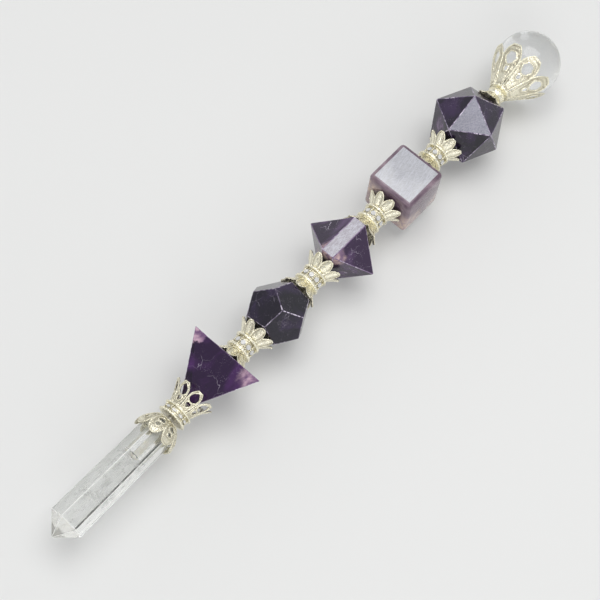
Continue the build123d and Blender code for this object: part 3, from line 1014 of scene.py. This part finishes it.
def add_quartz(run, socket_radius, socket_depth):
    """A six-sided bar that widens to a cut point and narrows to the seat of its cap."""
    deselect()
    shank = run - SEAT_LENGTH - CUT_HEIGHT
    bpy.ops.mesh.primitive_cylinder_add(vertices=6, radius=BACK_RADIUS, depth=shank,
                                        location=(0, 0, SEAT_LENGTH + shank / 2))
    quartz = added("quartz_point")
    apply_transform()
    first = quartz.data.vertices[0].co
    first_angle = math.atan2(first.y, first.x)
    open_edit(quartz)
    pick_faces(quartz, lambda centre, normal: normal.z > 0.9)
    widen = SHOULDER_RADIUS / BACK_RADIUS
    bpy.ops.transform.resize(value=(widen, widen, 1), center_override=(0, 0, 0))
    raise_faces(CUT_HEIGHT, 0.05)
    pick_faces(quartz, lambda centre, normal: normal.z < -0.9)
    raise_faces(-SEAT_LENGTH, SEAT_RADIUS / BACK_RADIUS)
    close_edit()
    fix_normals(quartz)
    for material in (clear_material("clear_quartz", (0.96, 0.97, 0.95), 0.02, 0.12, 0.94, 2.0),
                     clear_material("frosted_edges", (0.97, 0.97, 0.93), 0.25, 0.5, 0.35, 3.0),
                     clear_material("cloudy_tip", (0.97, 0.96, 0.90), 0.08, 0.3, 0.72, 8.0)):
        quartz.data.materials.append(material)
    for face in quartz.data.polygons:
        if face.center.z > run - CUT_HEIGHT:
            face.material_index = 2
    open_edit(quartz, "EDGE")
    bpy.ops.mesh.select_all(action="SELECT")
    bpy.ops.mesh.bevel(offset=sizes().quartz_bevel, segments=2, material=1, clamp_overlap=True)
    drill_from_back(quartz, socket_radius, socket_depth)
    close_edit()
    fix_normals(quartz)
    place(quartz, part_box("quartz_point")[0].x, TOWARD_POINT, sizes().point_roll - first_angle)
    stand_for(quartz, "quartz_point")


def add_resin(start_x, socket_radius, socket_depth):
    """The resin in the quartz's socket: a round-ended plug with a hole for the rod."""
    radius = socket_radius - SOCKET_CLEARANCE
    run = socket_depth - 1.3 * MM
    deselect()
    bpy.ops.mesh.primitive_cylinder_add(vertices=32, radius=radius, depth=run, location=(0, 0, run / 2))
    resin = added("socket_resin")
    apply_transform()
    open_edit(resin)
    pick_faces(resin, lambda centre, normal: normal.z > 0.9)
    for rise, shrink in ((0.5, 0.86), (0.4, 0.68), (0.25, 0.4)):
        raise_faces(rise * MM, shrink)
    pick_faces(resin, lambda centre, normal: normal.z < -0.9)
    bpy.ops.mesh.inset(thickness=radius - ROD_RADIUS - SOCKET_CLEARANCE)
    raise_faces(ROD_BOX[1].x - start_x)
    close_edit()
    fix_normals(resin)
    smooth(resin)
    place(resin, start_x, TOWARD_POINT)
    finish(resin, cement_material(), "quartz_socket_cement")


def add_veils(start_x):
    """Five crumpled sheets that lie at different turns inside the quartz."""
    veils = []
    for index in range(5):
        deselect()
        bpy.ops.mesh.primitive_grid_add(x_subdivisions=8, y_subdivisions=16, size=1)
        veil = added("milky_veils")
        veil.scale = (5.0 * MM, (18 + 2 * index) * MM, 1)
        apply_transform()
        open_edit(veil, "VERT")
        bpy.ops.mesh.select_all(action="SELECT")
        bpy.ops.transform.vertex_random(offset=0.25 * MM, seed=index + 3)
        close_edit()
        subdivided(veil, 1)
        upright = Matrix.Rotation(math.radians(90), 4, "X")
        turned = Matrix.Rotation(math.radians(36 * index + 12), 4, "Z") @ upright
        middle = ((index - 2) * 0.7 * MM, (1 - index % 3) * 0.8 * MM, (17 + 2.6 * index) * MM)
        veil.data.transform(Matrix.Translation(middle) @ turned)
        veils.append(veil)
    wisps = joined("milky_veils", veils)
    place(wisps, start_x, TOWARD_POINT)
    smooth(wisps, 60)
    wisps.data.materials.clear()
    wisps.data.materials.append(veil_material())
    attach(wisps, "root")


class WAND_OT_quartz(Operator):
    """Add the quartz point, the resin in its socket and the milky veils inside it"""

    bl_idname = "wand.quartz"
    bl_label = "Quartz point"

    def execute(self, context):
        low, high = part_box("quartz_point")
        cement_low, cement_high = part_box("quartz_socket_cement")
        socket_radius = (cement_high.z - cement_low.z) / 2 + SOCKET_CLEARANCE
        socket_depth = cement_high.x - low.x
        add_quartz(high.x - low.x, socket_radius, socket_depth)
        add_resin(low.x, socket_radius, socket_depth)
        add_veils(low.x)
        return {"FINISHED"}


# ---- Clear ball


class WAND_OT_ball(Operator):
    """Add the clear ball with the blind hole for the rod"""

    bl_idname = "wand.ball"
    bl_label = "Clear ball"

    def execute(self, context):
        low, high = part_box("crystal_ball")
        radius = (high.z - low.z) / 2
        cement_low, cement_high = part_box("ball_socket_cement")
        socket_radius = (cement_high.z - cement_low.z) / 2 + 2 * SOCKET_CLEARANCE
        deselect()
        bpy.ops.mesh.primitive_uv_sphere_add(segments=96, ring_count=64, radius=radius,
                                             location=(0, 0, radius))
        ball = added("crystal_ball")
        apply_transform()
        mouth = radius - math.sqrt(radius ** 2 - socket_radius ** 2)
        open_edit(ball)
        cut_away((0, 0, mouth), (0, 0, -1))
        pick_faces(ball, lambda centre, normal: normal.z < -0.99 and centre.z < mouth + 0.01 * MM)
        raise_faces(cement_high.x - cement_low.x)
        close_edit()
        fix_normals(ball)
        smooth(ball, 30)
        place(ball, low.x + 2 * radius, TOWARD_BALL)
        glass = clear_material("clear_ball", (0.97, 0.98, 0.98), 0.0, 0.05, 0.96, 6.0)
        finish(ball, glass, "crystal_ball")
        return {"FINISHED"}


# ---- Stones


def ring_directions(count, first, rise):
    """Directions spaced evenly about the wand's axis. Rise is toward the ball."""
    spread = math.sqrt(1 - rise ** 2)
    angles = [first + step * 2 * math.pi / count for step in range(count)]
    return [Vector((-rise, spread * math.sin(angle), spread * math.cos(angle))) for angle in angles]


def cut_block(shape, centre, size, cuts):
    """A block cut by planes, each given by its outward direction and its distance from the centre."""
    deselect()
    bpy.ops.mesh.primitive_cube_add(size=size, location=centre)
    stone = added(f"{shape}_stone")
    apply_transform()
    open_edit(stone)
    for direction, distance in cuts:
        cut_away(centre + direction * distance, direction)
    close_edit()
    fix_normals(stone)
    return stone


def worn_edges(stone, width, segments=2):
    """Softens every edge and marks the new faces with the second of three material places."""
    for place_index in range(3):
        stone.data.materials.append(bpy.data.materials["plated_metal"])
    open_edit(stone, "EDGE")
    bpy.ops.mesh.select_all(action="SELECT")
    bpy.ops.mesh.bevel(offset=width, segments=segments, material=1, clamp_overlap=True)
    close_edit()
    return stone


def mark_worn_highlit_flats(stone, which):
    """Marks the flat faces whose normals which(normal) picks with the third material place, the worn flats
    with their painted highlight.
    """
    for face in stone.data.polygons:
        if face.material_index == 0 and which(face.normal):
            face.material_index = 2


def finish_stone(stone, shape, *materials):
    """Fills the stone's material places, and puts it in the place of its CAD node."""
    while len(stone.data.materials) > len(materials):
        stone.data.materials.pop()
    for index, material in enumerate(materials):
        stone.data.materials[index] = material
    stand_for(stone, f"{shape}_stone")


def add_tetrahedron():
    """Its corner toward the point is cut off, and its face toward the ball is square to the axis."""
    low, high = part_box("tetrahedron_stone")
    edge = high.y - low.y
    inradius = edge / (2 * math.sqrt(6))
    centre = Vector((low.x + inradius, 0, AXIS_HEIGHT))
    cuts = [(direction, inradius) for direction in ring_directions(3, 0, -1 / 3)]
    cuts += [(Vector((-1, 0, 0)), inradius), (Vector((1, 0, 0)), high.x - centre.x)]
    stone = worn_edges(cut_block("tetrahedron", centre, 4 * edge, cuts), sizes().stone_bevel)
    tip = AXIS_HEIGHT + edge / math.sqrt(12)
    spots = [((low.x, low.y, tip), 6.4, 0.6), ((low.x, high.y, tip), 5.0, 4.0)]
    tones = ((0.007, 0.004, 0.014), (0.075, 0.022, 0.12), (0.60, 0.40, 0.50))
    look = amethyst("tetrahedron_amethyst", tones, spots, 0.5, 1.3)
    edges = stone_edge("tetrahedron_edges", (0.14, 0.07, 0.18), 1.0)
    finish_stone(stone, "tetrahedron", look, edges)


def add_dodecahedron():
    """Two of its faces lie square to the wand at its ends, where the real stone is drilled through."""
    low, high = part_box("dodecahedron_stone")
    inradius = (high.x - low.x) / 2
    centre = Vector((middle_x("dodecahedron_stone"), 0, AXIS_HEIGHT))
    slope = 1 / math.sqrt(5)
    roll = sizes().dodecahedron_roll
    directions = ring_directions(5, roll, -slope) + ring_directions(5, roll + math.radians(36), slope)
    cuts = [(direction, inradius) for direction in directions + END_DIRECTIONS]
    stone = worn_edges(cut_block("dodecahedron", centre, 6 * inradius, cuts), sizes().stone_bevel)
    spots = [((low.x, 3 * MM, high.z), 1.5, 3.0)]
    tones = ((0.004, 0.003, 0.009), (0.030, 0.016, 0.055), (0.24, 0.15, 0.28))
    look = amethyst("dodecahedron_amethyst", tones, spots, 0.5, 2.7)
    edges = stone_edge("dodecahedron_edges", (0.06, 0.04, 0.085), 2.0)
    finish_stone(stone, "dodecahedron", look, edges)


def add_octahedron():
    """Four of its edges are ground flat: above, below and at the two drilled ends."""
    low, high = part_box("octahedron_stone")
    edge = (high.y - low.y) / math.sqrt(2)
    half = (high.x - low.x) / 2
    centre = Vector((middle_x("octahedron_stone"), 0, AXIS_HEIGHT))
    around = [Vector((0, 0, 1)), Vector((0, 0, -1))] + END_DIRECTIONS
    cuts = [(direction, half) for direction in around]
    for direction in around:
        for side in (-1, 1):
            facet = (direction * math.sqrt(2) + Vector((0, side, 0))).normalized()
            cuts.append((facet, edge / math.sqrt(6)))
    stone = worn_edges(cut_block("octahedron", centre, 3 * edge, cuts), sizes().stone_bevel)
    mark_worn_highlit_flats(stone, lambda normal: abs(normal.z) > 0.99)
    spots = [((high.x, 1 * MM, AXIS_HEIGHT + half), 5.2, 2.0), ((high.x, -4 * MM, AXIS_HEIGHT), 2.0, 3.0)]
    tones = ((0.014, 0.006, 0.024), (0.12, 0.065, 0.16), (0.60, 0.42, 0.40))
    look = amethyst("octahedron_amethyst", tones, spots, 1.0, 3.9)
    # Painted highlight: the flats above and below are pale partly from scratches and partly for the light
    # they reflect
    highlit_flat_tones = ((0.22, 0.18, 0.22), (0.42, 0.38, 0.41), (0.62, 0.58, 0.58))
    ground = scuffed_highlit_facet("octahedron_flats", highlit_flat_tones, 0.6, 0.8, 3.9)
    edges = stone_edge("octahedron_edges", (0.18, 0.11, 0.22), 3.0)
    finish_stone(stone, "octahedron", look, edges, ground)


def add_cube():
    """A cube with rounded edges, pale on its flat faces above and below, partly from scratches and partly as
    a painted highlight.
    """
    low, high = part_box("cube_stone")
    centre = Vector((middle_x("cube_stone"), 0, AXIS_HEIGHT))
    stone = worn_edges(cut_block("cube", centre, high.x - low.x, []), CUBE_ROUNDING, 5)
    mark_worn_highlit_flats(stone, lambda normal: abs(normal.z) > 0.99)
    smooth(stone)
    spots = [((high.x, high.y, low.z), 7.0, 5.0), ((high.x, low.y, centre.z), 6.0, 5.0),
             ((low.x, high.y, low.z), 5.0, 5.0)]
    tones = ((0.11, 0.065, 0.10), (0.32, 0.24, 0.28), (0.58, 0.44, 0.36))
    look = amethyst("cube_amethyst", tones, spots, 0.4, 5.2)
    # Painted highlight: the flats above and below are pale partly from scratches and partly for the light
    # they reflect
    highlit_flat_tones = ((0.34, 0.34, 0.36), (0.58, 0.58, 0.58), (0.8, 0.8, 0.77))
    ground = scuffed_highlit_facet("cube_flats", highlit_flat_tones, 0.3, 0.75, 5.2)
    finish_stone(stone, "cube", look, look, ground)


def icosahedron_rings():
    """The eighteen side faces of an icosahedron drilled through two faces, as rings of three.

    Each ring is given by its rise toward the ball and by its roll from the first corner.
    """
    steep = math.sqrt(5) / 3
    shallow = 1 / 3
    third = math.radians(60)
    twist = math.atan(math.sqrt(0.6))
    front = [(-steep, third), (-shallow, third - twist), (-shallow, twist - third)]
    rear = [(shallow, twist), (shallow, -twist), (steep, 0.0)]
    return front + rear


def add_icosahedron():
    """Two of its faces lie square to the wand at its ends, where the real stone is drilled through, and its
    uppermost face is scratched and carries a painted highlight.
    """
    low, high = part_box("icosahedron_stone")
    inradius = (high.x - low.x) / 2
    centre = Vector((middle_x("icosahedron_stone"), 0, AXIS_HEIGHT))
    directions = []
    for rise, offset in icosahedron_rings():
        directions += ring_directions(3, sizes().icosahedron_roll + offset, rise)
    cuts = [(direction, inradius) for direction in directions + END_DIRECTIONS]
    stone = worn_edges(cut_block("icosahedron", centre, 5 * inradius, cuts), sizes().stone_bevel)
    mark_worn_highlit_flats(stone, lambda normal: normal.z > 0.89)
    spots = [((high.x, -6 * MM, AXIS_HEIGHT + 4 * MM), 3.2, 3.0)]
    tones = ((0.004, 0.003, 0.009), (0.035, 0.016, 0.06), (0.34, 0.22, 0.40))
    look = amethyst("icosahedron_amethyst", tones, spots, 0.45, 6.4)
    # Painted highlight: the uppermost face is pale partly from scratches and partly for the light it reflects
    highlit_flat_tones = ((0.10, 0.095, 0.14), (0.19, 0.18, 0.25), (0.4, 0.4, 0.45))
    ground = scuffed_highlit_facet("icosahedron_flat", highlit_flat_tones, 0.2, 0.3, 6.4)
    edges = stone_edge("icosahedron_edges", (0.09, 0.06, 0.13), 5.0)
    finish_stone(stone, "icosahedron", look, edges, ground)


class WAND_OT_stones(Operator):
    """Add the five purple stones"""

    bl_idname = "wand.stones"
    bl_label = "Purple stones"

    def execute(self, context):
        for add_stone in (add_tetrahedron, add_dodecahedron, add_octahedron, add_cube, add_icosahedron):
            add_stone()
        return {"FINISHED"}


# ---- Caps and rondelles


class WAND_OT_caps(Operator):
    """Add all the stamped caps"""

    bl_idname = "wand.caps"
    bl_label = "Stamped caps"

    def execute(self, context):
        half_petal = math.pi / PETALS
        lotus = lotus_cap("lotus_pattern", "tetra_dodeca_front_lotus_cap", 3.3 * MM)
        for junction in JUNCTIONS:
            for side, toward, roll in (("front", TOWARD_POINT, 0.0), ("rear", TOWARD_BALL, half_petal)):
                node = f"{junction}_{side}_lotus_cap"
                cap = copy_of(lotus)
                cap.name = node
                put_metal(cap, node, toward, roll)
        bpy.data.objects.remove(lotus)
        small = lotus_cap("icosahedron_lotus_cap", "icosahedron_lotus_cap", 3.0 * MM)
        put_metal(small, "icosahedron_lotus_cap", TOWARD_POINT)
        put_metal(flower_cap("quartz_flower_cap"), "quartz_flower_cap", TOWARD_POINT)
        put_metal(loop_cap("tetrahedron_loop_cap"), "tetrahedron_loop_cap", TOWARD_BALL, half_petal)
        put_metal(ball_cap("ball_loop_cap"), "ball_loop_cap", TOWARD_BALL, half_petal)
        return {"FINISHED"}


def neck_bead(node):
    """A flattened metal bead with a ring of small beads round its middle."""
    low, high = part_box(node)
    run = high.x - low.x
    radius = (high.z - low.z) / 2
    deselect()
    bpy.ops.mesh.primitive_uv_sphere_add(segments=40, ring_count=20, radius=radius, location=(0, 0, run / 2))
    bead = added(node)
    apply_transform()
    open_edit(bead)
    for height, facing in ((0.0, -1), (run, 1)):
        cut_away((0, 0, height), (0, 0, facing))
    close_edit()
    smooth(bead)
    return joined(node, [bead, bead_ring(node, radius, run / 2, 18, 0.3 * MM)])


class WAND_OT_rondelles(Operator):
    """Add the rondelles, their crystals and the neck bead"""

    bl_idname = "wand.rondelles"
    bl_label = "Rondelles"

    def execute(self, context):
        sparkle = bpy.data.materials["cut_crystals"]
        for name in JUNCTIONS + ("collar",):
            spool_node = f"{name}_rondelle"
            crystal_node = f"{name}_crystals"
            put_metal(rondelle_spool(spool_node), spool_node, TOWARD_BALL)
            crystals = rondelle_crystals(crystal_node)
            place(crystals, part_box(crystal_node)[1].x, TOWARD_BALL)
            finish(crystals, sparkle, crystal_node)
        put_metal(neck_bead("neck_bead"), "neck_bead", TOWARD_BALL)
        return {"FINISHED"}


# ---- Panel and registration


class WAND_PT_panel(Panel):
    """Lists the pieces of the wand"""

    bl_idname = "WAND_PT_panel"
    bl_label = "Crystal Wand"
    bl_space_type = "VIEW_3D"
    bl_region_type = "UI"
    bl_category = "Wand"

    def draw(self, context):
        for operator in OPERATORS:
            self.layout.operator(operator.bl_idname)


OPERATORS = (WAND_OT_groups, WAND_OT_stage, WAND_OT_quartz, WAND_OT_ball, WAND_OT_stones, WAND_OT_caps,
             WAND_OT_rondelles)
CLASSES = (WandSizes, WandColours) + OPERATORS + (WAND_PT_panel,)


def register():
    for kind in CLASSES:
        bpy.utils.register_class(kind)
    bpy.types.Scene.wand_sizes = PointerProperty(type=WandSizes)
    bpy.types.Scene.wand_colours = PointerProperty(type=WandColours)


def unregister():
    del bpy.types.Scene.wand_colours
    del bpy.types.Scene.wand_sizes
    for kind in reversed(CLASSES):
        bpy.utils.unregister_class(kind)


def main():
    register()
    bpy.ops.wand.groups()
    bpy.ops.wand.stage()
    bpy.ops.wand.quartz()
    bpy.ops.wand.ball()
    bpy.ops.wand.stones()
    bpy.ops.wand.caps()
    bpy.ops.wand.rondelles()


if __name__ == "__main__":
    main()
